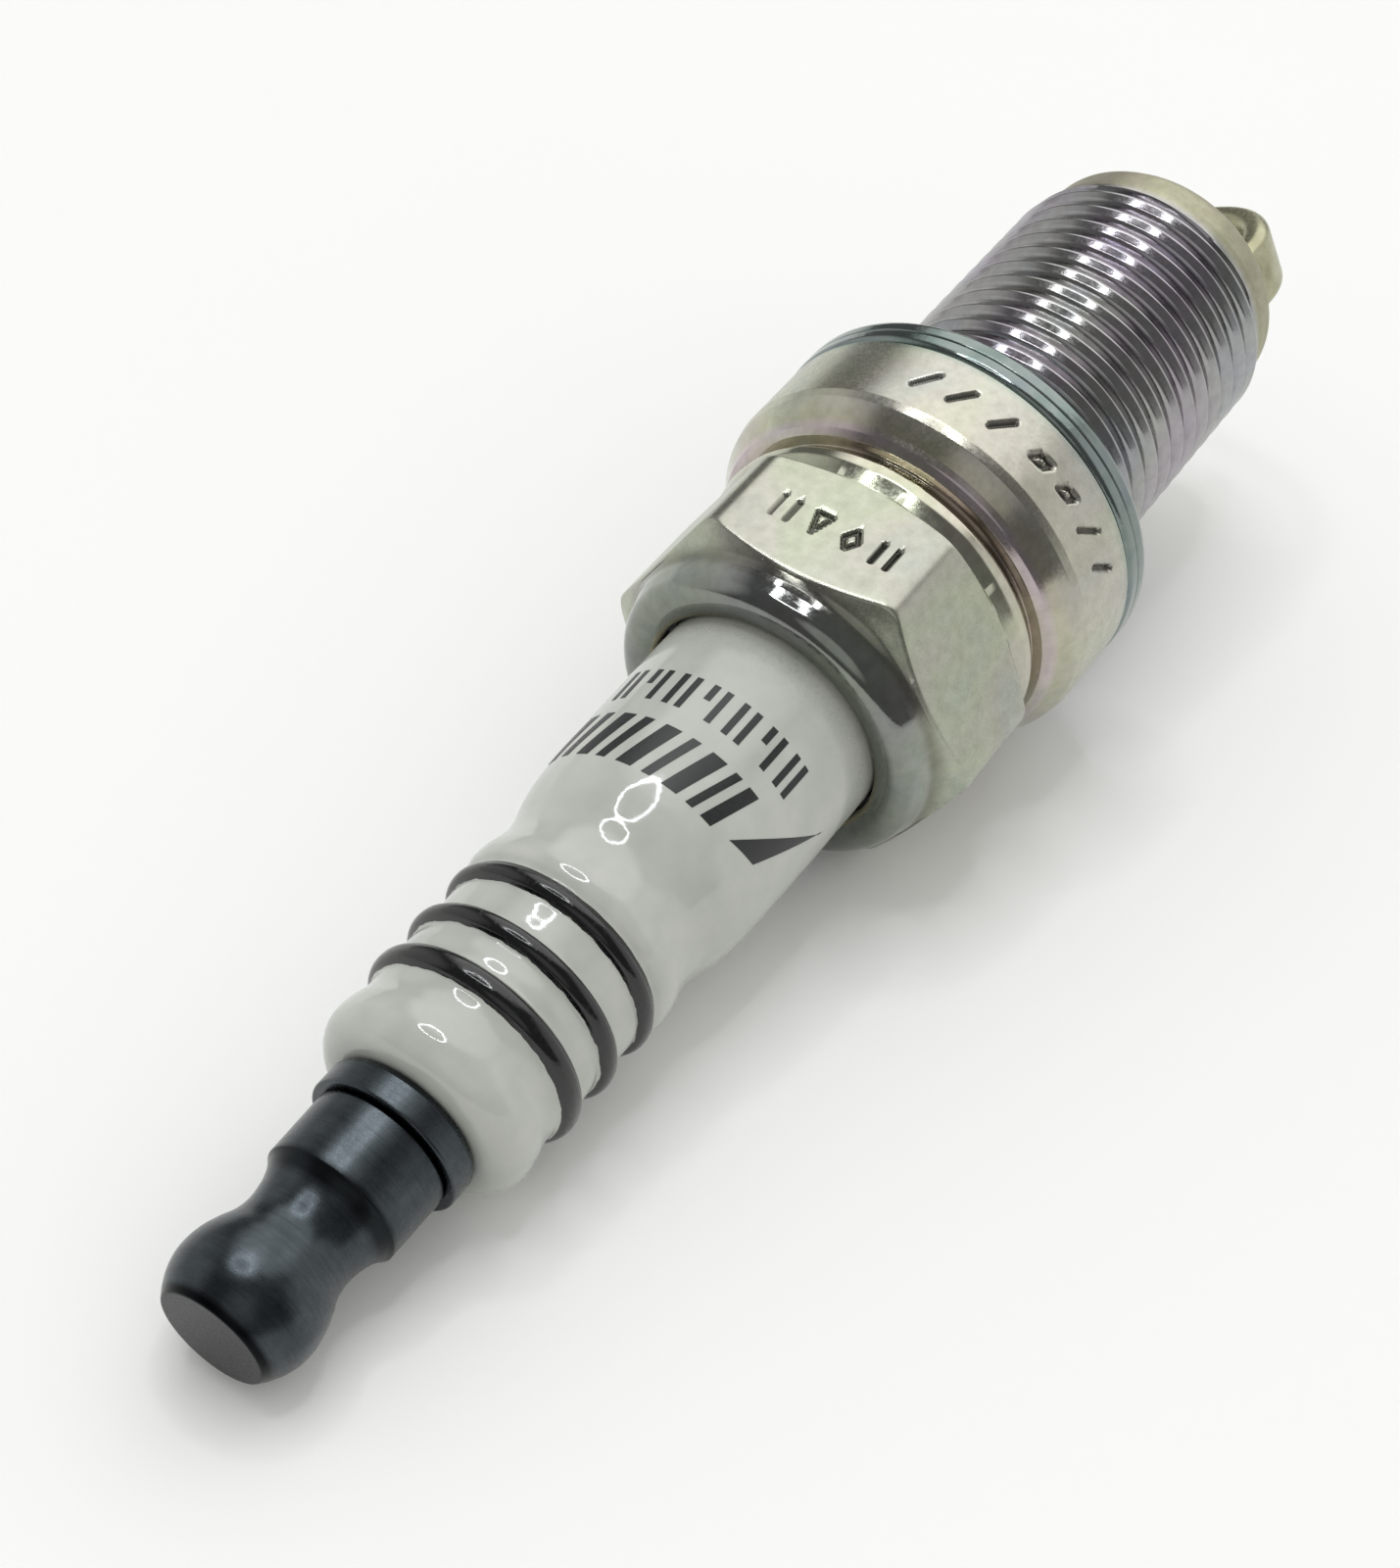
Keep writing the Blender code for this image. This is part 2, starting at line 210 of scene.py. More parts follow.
def mesh_object(name, sheets, look, sharp=38, stamped=None):
    """One closed piece from grids of points. A sheet is (points, rows of shift where it closes):
    None leaves the sheet's sides open. stamped is how deep each of the first sheet's points is
    stamped, 0 to 1."""
    points, faces, start = [], [], 0
    for grid_points, shift in sheets:
        rows, columns = grid_points.shape[:2]
        index = np.arange(rows * columns).reshape(rows, columns) + start
        strips = [(index[:, :-1], index[:, 1:])]
        if shift is not None:
            strips.append((index[: rows - shift, -1], index[shift:, 0]))
        for left, right in strips:
            quads = [left[:-1], right[:-1], right[1:], left[1:]]
            faces.append(np.stack(quads, -1).reshape(-1, 4))
        points.append(grid_points.reshape(-1, 3))
        start += rows * columns
    points = np.concatenate(points) * MM
    keys = np.round(points / WELD_DISTANCE).astype(np.int64)
    _, kept, renumbered = np.unique(keys, axis=0, return_index=True, return_inverse=True)
    renumbered = renumbered.reshape(-1)
    made = []
    for face in renumbered[np.concatenate(faces)].tolist():
        corners = list(dict.fromkeys(face))
        if len(corners) > 2:
            made.append(corners)
    data = bpy.data.meshes.new(name)
    data.from_pydata(points[kept].tolist(), [], made)
    if stamped is not None:
        depths = np.zeros(len(points))
        depths[: stamped.size] = stamped.reshape(-1)
        data.attributes.new("stamped", "FLOAT", "POINT").data.foreach_set("value", depths[kept])
    mesh = bmesh.new()
    mesh.from_mesh(data)
    bmesh.ops.recalc_face_normals(mesh, faces=mesh.faces)
    if mesh.calc_volume(signed=True) < 0:
        bmesh.ops.reverse_faces(mesh, faces=mesh.faces)
    mesh.to_mesh(data)
    mesh.free()
    data.materials.append(look)
    data.shade_smooth()
    data.set_sharp_from_angle(angle=math.radians(sharp))
    data.transform(PLUG)
    return add_object(name, data)


def turned(name, outline, look, columns=192, sharp=38):
    """A solid of revolution from an outline that ends on the axis or where it began."""
    return mesh_object(name, [(turned_grid(outline, even_columns(columns)), 0)], look, sharp)


def thread_grid(low, high, pitch, section, azimuths):
    """A right-handed thread between two plain rings. section gives the radii over one pitch.
    Leads of 45 degrees run in from the rings at both ends."""
    per_turn = len(section)
    rows = np.arange(math.ceil((high[0] - low[0]) / pitch + 3) * per_turn)
    turn = azimuths / 360
    z = low[0] + pitch * ((rows[:, None] / per_turn - 1.5) + turn[None, :])
    r = np.broadcast_to(section[rows % per_turn][:, None], z.shape)
    z = np.clip(z, low[0], high[0])
    for end, radius in (low, high):
        r = np.minimum(r, radius + np.abs(z - end))
    return grid(z, r, azimuths)


def thread_section(crest, root, samples):
    """Radii over one pitch: a rolled crest whose shoulder slopes gently towards the terminal, and
    steep flanks to a narrow root."""
    along = (np.arange(samples) + 0.5) / samples
    places = (0, 0.2, 0.3, 0.36, 0.7, 0.76, 0.95, 1)
    drops = (1, 0.22, 0.03, 0, 0.2, 0.28, 0.96, 1)
    drop = np.interp(along, places, drops)
    return crest - (crest - root) * drop


# Materials


def tone(red, green, blue):
    """A colour from the 0 to 255 scale of a display, as linear light."""
    channels = [c / 255 for c in (red, green, blue)]
    linear = [c / 12.92 if c <= 0.04045 else ((c + 0.055) / 1.055) ** 2.4 for c in channels]
    return (*linear, 1)


def add_node(tree, kind, inputs=None, **settings):
    """A new node. inputs gives each of its sockets a value, or another node's socket."""
    node = tree.nodes.new(kind)
    for key, value in settings.items():
        setattr(node, key, value)
    for socket, value in (inputs or {}).items():
        if isinstance(value, bpy.types.NodeSocket):
            tree.links.new(value, node.inputs[socket])
        else:
            node.inputs[socket].default_value = value
    return node


class Look:
    """A material and short ways to add nodes to it. place is the point in the plug's frame, in
    millimetres, and z its height along the axis."""

    def __init__(self, name, **constants):
        self.material = bpy.data.materials.new(name)
        self.material.use_nodes = True
        self.tree = self.material.node_tree
        self.shader = self.tree.nodes["Principled BSDF"]
        for socket, value in constants.items():
            self.shader.inputs[socket.replace("_", " ")].default_value = value
        inputs = {
            "Vector": self.add("ShaderNodeTexCoord").outputs["Object"],
            "Location": PLUG.translation,
            "Rotation": PLUG.to_euler(),
            "Scale": (MM, MM, MM),
        }
        self.place = self.add("ShaderNodeMapping", inputs, vector_type="TEXTURE").outputs[0]
        self.z = self.add("ShaderNodeSeparateXYZ", {0: self.place}).outputs[2]

    def add(self, kind, inputs=None, **settings):
        return add_node(self.tree, kind, inputs, **settings)

    def set(self, socket, value):
        self.tree.links.new(value, self.shader.inputs[socket])

    def math(self, operation, a, b=0.0, c=0.0):
        return self.add("ShaderNodeMath", {0: a, 1: b, 2: c}, operation=operation).outputs[0]

    def stretch(self, x, y, z):
        inputs = {0: self.place, 1: (x, y, z)}
        return self.add("ShaderNodeVectorMath", inputs, operation="MULTIPLY").outputs[0]

    def noise(self, scale, detail=3.0, roughness=0.55, vector=None):
        inputs = {"Vector": vector or self.place, "Scale": scale}
        inputs.update({"Detail": detail, "Roughness": roughness})
        return self.add("ShaderNodeTexNoise", inputs).outputs[0]

    def spread(self, value, low, high, to_low=0.0, to_high=1.0):
        inputs = {0: value, 1: low, 2: high, 3: to_low, 4: to_high}
        return self.add("ShaderNodeMapRange", inputs).outputs[0]

    def ramp(self, value, stops):
        """Colours along a value: stops is a list of (value, colour)."""
        low, high = stops[0][0], stops[-1][0]
        node = self.add("ShaderNodeValToRGB", {0: self.spread(value, low, high)})
        elements = node.color_ramp.elements
        while len(elements) < len(stops):
            elements.new(1.0)
        for element, (at, colour) in zip(elements, stops):
            element.position = (at - low) / (high - low)
            element.color = colour
        return node.outputs[0]

    def levels(self, value, stops):
        """Numbers along a value: stops is a list of (value, number)."""
        return self.ramp(value, [(at, (n, n, n, 1)) for at, n in stops])

    def mix(self, factor, a, b, blend="MIX"):
        inputs = {0: factor, 6: a, 7: b}
        node = self.add("ShaderNodeMix", inputs, data_type="RGBA", blend_type=blend)
        return node.outputs[2]

    def bump(self, height, distance, strength=1.0):
        """Relief of that height in millimetres."""
        inputs = {"Strength": strength, "Distance": distance * MM, "Height": height}
        self.set("Normal", self.add("ShaderNodeBump", inputs).outputs[0])

    def radius(self):
        across = self.stretch(1, 1, 0)
        return self.add("ShaderNodeVectorMath", {0: across}, operation="LENGTH").outputs["Value"]


def zinc_look():
    """Bright zinc plating whose passivated film drifts between straw, rose, lilac and teal, with painted shade in
    the crease before the lip and painted dark reflections on the lip.
    """
    look = Look("bright_zinc_plating", Metallic=1.0)
    film_and_lip_shade = look.ramp(
        look.z,
        [
            (-19.2, tone(170, 168, 148)),
            (-16.9, tone(172, 170, 150)),
            (-16.5, tone(168, 168, 172)),
            (-12.0, tone(166, 164, 170)),
            (-6.0, tone(168, 167, 170)),
            (-1.0, tone(160, 158, 164)),
            (1.6, tone(158, 170, 162)),
            (2.0, tone(184, 186, 175)),
            (5.4, tone(186, 186, 172)),
            (5.9, tone(186, 186, 174)),
            (6.6, tone(184, 182, 164)),
            (7.0, tone(190, 180, 184)),
            (7.5, tone(178, 174, 156)),
            (8.3, tone(192, 192, 176)),
            (9.4, tone(174, 177, 163)),
            (15.1, tone(174, 177, 165)),
            # painted shade: darker in the crease between the hexagon's front and the lip
            (15.5, tone(128, 128, 120)),
            # the lip is painted darker: painted dark reflections, not the plating's own colour
            (15.9, tone(150, 153, 148)),
            (16.2, tone(150, 155, 152)),
            (17.3, tone(132, 136, 132)),
        ],
    )
    drift = look.noise(0.22, 2.0, 0.5, look.stretch(1, 1, 0.7))
    tints = look.ramp(
        drift,
        [
            (0.30, tone(176, 196, 190)),
            (0.42, tone(196, 202, 168)),
            (0.50, tone(205, 200, 190)),
            (0.58, tone(200, 178, 190)),
            (0.70, tone(178, 178, 205)),
        ],
    )
    mottled = look.mix(0.2, film_and_lip_shade, tints, "OVERLAY")
    cloud = look.noise(1.6, 5.0, 0.6)
    clouded = look.spread(cloud, 0.35, 0.75, 0.0, 0.3)
    mottled = look.mix(clouded, mottled, tone(150, 150, 138), "MULTIPLY")
    olive = look.math("LESS_THAN", look.radius(), 5.9)
    behind_lip = look.math("MULTIPLY", olive, look.math("GREATER_THAN", look.z, 10.0))
    mottled = look.mix(behind_lip, mottled, tone(142, 138, 118))
    # painted shade: the stamped strokes are painted darker the deeper they go, as shade in the recesses
    stamped = look.add("ShaderNodeAttribute", attribute_name="stamped").outputs["Fac"]
    stamp_shade = look.math("MULTIPLY", stamped, 0.85)
    look.set("Base Color", look.mix(stamp_shade, mottled, tone(44, 42, 40)))
    base_roughness = look.levels(
        look.z,
        [
            (-19.2, 0.52),
            (-16.9, 0.48),
            (-16.5, 0.13),
            (-1.0, 0.13),
            (1.9, 0.28),
            (5.4, 0.26),
            (6.2, 0.14),
            (7.3, 0.1),
            (8.6, 0.13),
            (9.4, 0.24),
            (15.1, 0.24),
            (15.6, 0.16),
            (16.0, 0.05),
            (17.3, 0.06),
        ],
    )
    grit = look.noise(6.0, 4.0)
    uneven = look.spread(grit, 0.3, 0.7, -0.04, 0.07)
    look.set("Roughness", look.math("ADD", base_roughness, uneven))
    fine = look.noise(9.0, 4.0, 0.6)
    turning = look.noise(1.0, 2.0, 0.5, look.stretch(0.15, 0.15, 14.0))
    look.bump(look.math("ADD", fine, look.math("MULTIPLY", turning, 0.5)), 0.005, 0.35)
    return look.material


def ceramic_look():
    """Glazed alumina: black glaze bands on three crests and a dry, speckled patch by the lip."""
    look = Look("glazed_alumina", IOR=1.6)
    wobble = look.math("MULTIPLY", look.math("SUBTRACT", look.noise(1.1, 3.0), 0.5), 0.16)
    height = look.math("ADD", look.z, wobble)
    black = None
    for middle, half in BEADS:
        inside = look.math("COMPARE", height, middle, half)
        black = inside if black is None else look.math("MAXIMUM", black, inside)
    outer = look.math("GREATER_THAN", look.radius(), 3.0)
    black = look.math("MULTIPLY", black, outer)
    cloud = look.noise(0.5, 3.0)
    white = look.mix(look.spread(cloud, 0.3, 0.7), tone(176, 179, 172), tone(186, 188, 181))
    speck = look.noise(5.5, 2.0, 0.6)
    near_lip = look.spread(look.z, 17.0, 19.6, 1.0, 0.0)
    grey = look.math("MULTIPLY", look.spread(speck, 0.56, 0.66), near_lip)
    white = look.mix(look.math("MULTIPLY", grey, 0.35), white, tone(150, 150, 143))
    look.set("Base Color", look.mix(black, white, tone(6, 7, 9)))
    dusty = look.spread(look.noise(4.0, 4.0, 0.7), 0.52, 0.68, 0.04, 0.3)
    glaze = look.spread(look.noise(2.5, 3.0), 0.3, 0.7, 0.05, 0.1)
    rough = look.math("ADD", glaze, look.math("MULTIPLY", near_lip, 0.25))
    rough = look.math("ADD", rough, look.math("MULTIPLY", black, dusty))
    look.set("Roughness", rough)
    look.bump(look.noise(1.3, 2.0), 0.02, 0.3)
    return look.material


def ink_look():
    look = Look("fired_ink", Coat_Weight=0.1, Coat_Roughness=0.2)
    patchy = look.noise(7.0, 4.0, 0.6)
    worn = look.spread(patchy, 0.35, 0.75)
    look.set("Base Color", look.mix(worn, tone(16, 17, 19), tone(34, 35, 37)))
    look.set("Roughness", look.spread(patchy, 0.3, 0.7, 0.32, 0.5))
    return look.material


def dark_plating_look():
    """Dark nickel over turned steel."""
    look = Look("dark_nickel_plating", Metallic=1.0)
    cloud = look.noise(0.9, 4.0, 0.6)
    base = look.mix(look.spread(cloud, 0.3, 0.7), tone(62, 68, 71), tone(78, 84, 88))
    grain = look.noise(1.0, 3.0, 0.6, look.stretch(0.6, 0.6, 10.0))
    base = look.mix(look.spread(grain, 0.45, 0.8, 0.0, 0.5), base, tone(44, 48, 50))
    # painted dark reflection in the crease under the neck, and the end face made darker towards the end
    dark_band_stops = [(45.9, 0), (46.15, 0.8), (46.6, 0.8), (47, 0), (52.6, 0), (52.8, 1), (53.1, 1)]
    neck_shade_and_dark_end = look.levels(look.z, dark_band_stops)
    look.set("Base Color", look.mix(neck_shade_and_dark_end, base, tone(24, 27, 28)))
    look.set("Roughness", look.spread(look.noise(5.0, 4.0), 0.3, 0.7, 0.25, 0.31))
    look.bump(look.math("ADD", look.noise(12.0, 3.0), grain), 0.006, 0.4)
    return look.material


def metal_look(name, dark, light, roughness, scale=3.0, relief=0.008):
    """A plain metal with cloudy colour and fine grain."""
    look = Look(name, Metallic=1.0)
    cloud = look.noise(scale, 4.0, 0.6)
    look.set("Base Color", look.mix(look.spread(cloud, 0.3, 0.7), dark, light))
    grain = look.noise(scale * 4, 3.0)
    look.set("Roughness", look.spread(grain, 0.3, 0.7, roughness - 0.06, roughness + 0.06))
    look.bump(grain, relief, 0.5)
    return look.material


def powder_look(name, dark, light, roughness):
    """Pressed powder or fused glass: grains of two shades."""
    look = Look(name)
    grains = look.noise(6.0, 5.0, 0.7)
    look.set("Base Color", look.mix(look.spread(grains, 0.4, 0.62), dark, light))
    look.set("Roughness", look.spread(grains, 0.3, 0.7, roughness - 0.1, min(1.0, roughness + 0.1)))
    look.bump(grains, 0.03, 0.6)
    return look.material


# Shell


def shell_columns():
    """Azimuths: dense under the stamped marks and at the hexagon's rounded corners."""
    unmarked_to = 360 + MARKED_FROM
    dense = np.arange(MARKED_FROM, MARKED_TO, 0.5)
    coarse = np.arange(MARKED_TO, unmarked_to, 2.0)
    beside = np.array([-3, -2.2, -1.5, -0.8, 0, 0.8, 1.5, 2.2, 3])
    corners = (np.arange(30.0, 360.0, 60.0)[:, None] + beside).reshape(-1)
    corners = corners[(corners > MARKED_TO) & (corners < unmarked_to)]
    coarse = coarse[np.min(np.abs(coarse[:, None] - corners[None, :]), axis=1) > 0.45]
    return np.sort(np.concatenate([dense, coarse, corners]) % 360)


def hexagon_radius(azimuths):
    """Distance from the axis of the hexagon's sides, with rounded corners."""
    half_side = math.radians(30)
    off_flat = np.radians((azimuths + 30) % 60 - 30)
    flat = HEX_FLAT / np.cos(off_flat)
    off_corner = half_side - np.abs(off_flat)
    centre = (HEX_FLAT - HEX_CORNER_ROUND) / math.cos(half_side)
    beyond = (centre * np.sin(off_corner)) ** 2
    rounded = centre * np.cos(off_corner) + np.sqrt(np.maximum(HEX_CORNER_ROUND**2 - beyond, 0))
    tangent = math.atan2(HEX_CORNER_ROUND / 2, centre + HEX_CORNER_ROUND * math.cos(half_side))
    return np.where(off_corner < tangent, rounded, flat)


def stroke_depth(across, along, strokes, half_width):
    """How deep a surface point lies in a set of stamped strokes, 0 to 1. Each stroke is the segment
    (across, along, across, along)."""
    depth = np.zeros(np.broadcast(across, along).shape)
    for x0, y0, x1, y1 in strokes:
        dx, dy = x1 - x0, y1 - y0
        t = np.clip(((across - x0) * dx + (along - y0) * dy) / (dx * dx + dy * dy), 0, 1)
        away = np.hypot(across - x0 - t * dx, along - y0 - t * dy)
        depth = np.maximum(depth, np.clip(1.5 - away / half_width, 0, 1))
    return depth**2 * (3 - 2 * depth)


def moved(strokes, across, along):
    return [(a + across, b + along, c + across, d + along) for a, b, c, d in strokes]


def hexagon_marks():
    """Four small symbols in a row across the upper flat: bars, triangle, lozenge, bars."""
    w, h = 0.36, 0.6
    bars = [(-w, -h, -w, h), (w, -h, w, h)]
    triangle = [(-w, -h, w, -h), (w, -h, 0, h), (0, h, -w, -h)]
    lozenge = [(-w, 0, 0, h), (0, h, w, 0), (w, 0, 0, -h), (0, -h, -w, 0)]
    marks = []
    for place, symbol in zip((2.25, 0.6, -1.05, -2.7), (bars, triangle, lozenge, bars)):
        marks += moved(symbol, place, HEX_MARKS_Z)
    return marks


def collar_marks():
    """Plain inspection marks round the collar: slashes and small slanted boxes."""
    slash = [(0.4, 0.53, -0.4, -0.53)]
    box = [
        (-0.5, -0.26, -0.2, 0.22),
        (-0.2, 0.22, 0.5, 0.26),
        (0.5, 0.26, 0.2, -0.22),
        (0.2, -0.22, -0.5, -0.26),
    ]
    along_arc = math.radians(1) * COLLAR_RADIUS
    azimuths = (5, -6, -19, -33, -44, -56, -68)
    symbols = (slash, slash, slash, box, box, slash, slash)
    marks = []
    for azimuth, symbol in zip(azimuths, symbols):
        marks += moved(symbol, azimuth * along_arc, COLLAR_MARKS_Z)
    return marks


def shell_grid(azimuths):
    """All of the shell but its thread, from the nose round to the relief under the gasket."""
    signed = (azimuths + 180) % 360 - 180
    inside = fillet(
        [
            (*THREAD_LOW, 0),
            (-17.1, 6.54, 0.4),
            (-18.15, 6.42, 0.6),
            (-18.75, 6.0, 0.4),
            (-REACH, 5.55, 0.2),
            (-REACH, NOSE_BORE, 0.12),
            (-11.4, NOSE_BORE, 0.2),
            (-10.2, 3.75, 0.2),
            (-9.4, 3.75, 0.1),
            (-8.6, 4.5, 0.1),
            (1.4, 4.5, 0.3),
            (3.4, BORE_RADIUS, 0.3),
            (15.3, BORE_RADIUS, 0.3),
            (16.1, LIP_RADIUS + 0.05, 0.2),
            (16.6, LIP_RADIUS, 0),
        ]
    )
    lip_inside = [(16.6, LIP_RADIUS), (16.85, 5.7), (16.98, 5.95), (17.1, 6.25)]
    lip = smooth(lip_inside + arc(LIP_CENTRE, LIP_ROUND, -5, 75, 10), 0.06)
    face = fillet([lip[-1] + (0,), (16.0, 7.66, 0.1), (15.7, 7.74, 0.1), (15.42, 7.86, 0)])
    front_lines = inside[:-1] + lip + face[1:]
    rear = fillet(
        [
            (9.2, 8.0, 0),
            (8.5, 8.2, 0.6),
            (8.0, 8.2, 0.4),
            (7.65, 8.0, 0.3),
            (7.42, 7.8, 0.12),
            (7.3, 7.8, 0.05),
            (7.25, 8.3, 0.06),
            (7.0, 8.62, 0.2),
            (6.7, 8.78, 0.15),
            (COLLAR_EDGE, 9.34, 0.2),
            (COLLAR_EDGE - 0.45, COLLAR_RADIUS, 0.3),
            (COLLAR_EDGE - 0.75, COLLAR_RADIUS, 0),
        ]
    )
    collar = densify([rear[-1], (1.85, COLLAR_RADIUS)], 0.09)
    under = fillet(
        [(1.85, COLLAR_RADIUS, 0), (1.6, COLLAR_RADIUS, 0.18), (1.6, 6.05, 0.1), (*THREAD_HIGH, 0)]
    )

    sides = hexagon_radius(azimuths)
    front_edge = HEX_FRONT - (sides - HEX_FLAT) * CHAMFER_RISE
    rear_edge = HEX_REAR + (sides - HEX_FLAT) * CHAMFER_RISE
    crease, inset = 0.1, 0.022

    def chamfer(ring, edge, sign):
        """Rows from a plain ring to the edge of each side, ending just past the rounded edge."""
        z0, r0 = ring
        rise = edge + sign * crease - z0
        widening = sides - crease / CHAMFER_RISE * 0.6 - r0
        rows = [(z0 + rise * t, r0 + widening * t) for t in (0.25, 0.5, 0.75)]
        before = np.minimum(1.0, crease * 2 / np.hypot(edge - z0, sides - r0))
        rows.append((edge + (z0 - edge) * before, sides + (r0 - sides) * before))
        rows.append((edge + sign * crease * 0.3, sides - inset * 1.4))
        rows.append((edge - sign * crease * 0.3, sides - inset * 0.5))
        rows.append((edge - sign * crease * 1.6, sides))
        return rows

    front = chamfer(front_lines[-1], front_edge, 1)
    back = chamfer(rear[0], rear_edge, -1)
    spans = ((0.04, 0.36, 6), (0.38, 0.68, 34), (0.71, 0.96, 5))  # dense where the marks are
    shares = np.concatenate([np.linspace(*span) for span in spans])
    top, bottom = front[-1][0], back[-1][0]
    flat = [(bottom + (top - bottom) * s, sides) for s in shares[::-1]]

    width = len(azimuths)

    def plain(line):
        return [(np.full(width, z), np.full(width, r)) for z, r in line]

    rows = plain(front_lines) + front + flat + back[::-1]
    rows += plain(rear) + plain(collar[1:]) + plain(under[1:])
    z = np.array([row[0] for row in rows])
    r = np.array([row[1] for row in rows])
    across = r * np.sin(np.radians(signed))
    on_flat = (np.abs(signed) < 25) & (z > 10.5) & (z < 14.2)
    flat_depth = on_flat * stroke_depth(across, z, hexagon_marks(), HEX_STROKE)
    on_collar = (z > 1.9) & (z < 5.4) & (r > 9.2)
    arc_length = COLLAR_RADIUS * np.radians(signed)[None, :]
    collar_depth = on_collar * stroke_depth(arc_length, z, collar_marks(), COLLAR_STROKE)
    stamped_r = r - STAMP_DEPTH * flat_depth - STAMP_DEPTH * collar_depth
    return grid(z, stamped_r, azimuths), np.maximum(flat_depth, collar_depth)


def make_shell():
    azimuths = shell_columns()
    section = thread_section(THREAD_CREST, THREAD_ROOT, 18)
    thread = thread_grid(THREAD_LOW, THREAD_HIGH, THREAD_PITCH, section, azimuths)
    turned_part, stamped = shell_grid(azimuths)
    sheets = [(turned_part, 0), (thread, len(section))]
    piece = mesh_object("plated_shell", sheets, zinc_look(), 50, stamped)
    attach(piece, "plug")
    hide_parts("shell")


def make_gasket():
    """A folded sheet: two rounded layers with the fold's gap on the inner side."""
    inner, outer, top, middle = GASKET_INNER, GASKET_RADIUS, GASKET_TOP, GASKET_TOP / 2
    sheet = 0.34
    corners = [
        (0, (inner + outer) / 2, 0),
        (0, outer, 0.42),
        (middle - 0.02, outer, 0.14),
        (middle, outer - 0.16, 0.03),
        (middle + 0.02, outer, 0.14),
        (top, outer, 0.42),
        (top, inner, 0.3),
        (top - sheet, inner, 0.1),
        (top - sheet, outer - 0.7, 0.2),
        (sheet, outer - 0.7, 0.2),
        (sheet, inner, 0.1),
        (0, inner, 0.3),
        (0, (inner + outer) / 2, 0),
    ]
    look = Look("tinned_gasket_steel", Metallic=1.0)
    drift = look.noise(0.5, 3.0)
    tints = [(0.3, tone(114, 128, 124)), (0.5, tone(132, 141, 138)), (0.7, tone(120, 130, 134))]
    look.set("Base Color", look.ramp(drift, tints))
    look.set("Roughness", look.spread(look.noise(6.0, 3.0), 0.3, 0.7, 0.08, 0.18))
    look.bump(look.noise(3.0, 4.0), 0.02, 0.4)
    piece = turned("folded_gasket", fillet(corners), look.material, 240)
    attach(piece, "gasket")
    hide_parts("seat_gasket")


def make_ground_strap():
    """A bar with rounded edges, welded to the shell's end and bent in under the electrode."""
    turn_centre = (STRAP_TIP_Z + STRAP_BEND, STRAP_OUTER - STRAP_BEND)
    middle_bend = STRAP_BEND - STRAP_THICKNESS / 2
    weld = -REACH + STRAP_SUNK
    path = [(weld, STRAP_OUTER - STRAP_THICKNESS / 2, 0.0)]
    for angle in np.linspace(90, 180, 25):
        a = math.radians(angle)
        z = turn_centre[0] + middle_bend * math.cos(a)
        path.append((z, turn_centre[1] + middle_bend * math.sin(a), angle - 90))
    bent_z, bent_out, _ = path[-1]
    for t in np.linspace(0, 1, 9)[1:]:
        path.append((bent_z, bent_out * (1 - t) - STRAP_PAST_AXIS * t, 90.0))
    half_width, half_thick, rounding = STRAP_WIDTH / 2, STRAP_THICKNESS / 2, 0.55
    section = []
    for side, face, start in ((1, 1, 0), (-1, 1, 90), (-1, -1, 180), (1, -1, 270)):
        for a in np.radians(np.linspace(start, start + 90, 7)):
            across = side * (half_width - rounding) + rounding * math.cos(a)
            section.append((across, face * (half_thick - rounding) + rounding * math.sin(a)))
    section = np.array(section)
    azimuth = math.radians(STRAP_AZIMUTH)
    out = np.array((math.cos(azimuth), math.sin(azimuth), 0))
    aside = np.array((-math.sin(azimuth), math.cos(azimuth), 0))
    up = np.array((0, 0, 1.0))
    rows = []

    def add(z, far, bend, scale, push):
        normal = math.cos(math.radians(bend)) * out - math.sin(math.radians(bend)) * up
        along = -math.sin(math.radians(bend)) * out - math.cos(math.radians(bend)) * up
        middle = out * far + up * z + along * push
        shrunk = section * (1 - scale / np.array((half_width, half_thick)))
        rows.append(middle + shrunk[:, :1] * aside + shrunk[:, 1:] * normal)

    z, far, bend = path[0]
    rows.append(np.repeat((out * far + up * z)[None, :], len(section), 0))
    add(z, far, bend, 0.1, 0)
    for z, far, bend in path:
        add(z, far, bend, 0, 0)
    z, far, bend = path[-1]
    for a in np.radians((20, 40, 60, 80, 90)):
        add(z, far, bend, 0.1 * (1 - math.cos(a)), 0.1 * math.sin(a))
    rows.append(np.repeat((out * far + up * z - out * 0.1)[None, :], len(section), 0))
    look = metal_look("ground_nickel_alloy", tone(148, 146, 118), tone(178, 176, 148), 0.3, 1.2)
    piece = mesh_object("ground_strap", [(np.array(rows), 0)], look)
    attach(piece, "plug")
    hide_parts("ground_electrode")


# Ceramic


def ceramic_body():
    """The ceramic's outside from the shell to the terminal."""
    points = [(15.8, 5.5), (17.0, 5.5), (20.0, 5.5), (23.0, 5.47), (25.2, 5.42), (26.4, 5.33)]
    points += [(27.2, 5.2), (27.8, 5.05), (28.3, 4.9), (28.8, 4.81), (29.4, 4.79), (30.0, 4.88)]
    points += [(30.6, 5.02), (31.1, 5.06), (31.5, 4.97), (31.72, 4.84)]
    for middle, half in BEADS:
        foot = 4.8 if middle < 33 else 4.64
        rise = ((-1.15, foot), (-1, foot + 0.06), (-0.72, 4.93), (-0.35, 5.04), (0, 5.06))
        points += [(middle + share * half, r) for share, r in rise]
        for share, r in rise[-2::-1]:
            points.append((middle - share * half, min(r, 4.7) if share < -0.9 else r))
        if middle < 37:
            points += [(middle + half + 0.75, 4.66)]
    points += [(38.5, 4.6), (38.9, 4.66), (39.4, 4.8), (39.95, 4.87), (40.4, 4.84), (40.8, 4.68)]
    points += [(41.15, 4.4), (41.4, 4.05), (41.52, 3.7), (41.55, 3.45)]
    return smooth(points, 0.09)


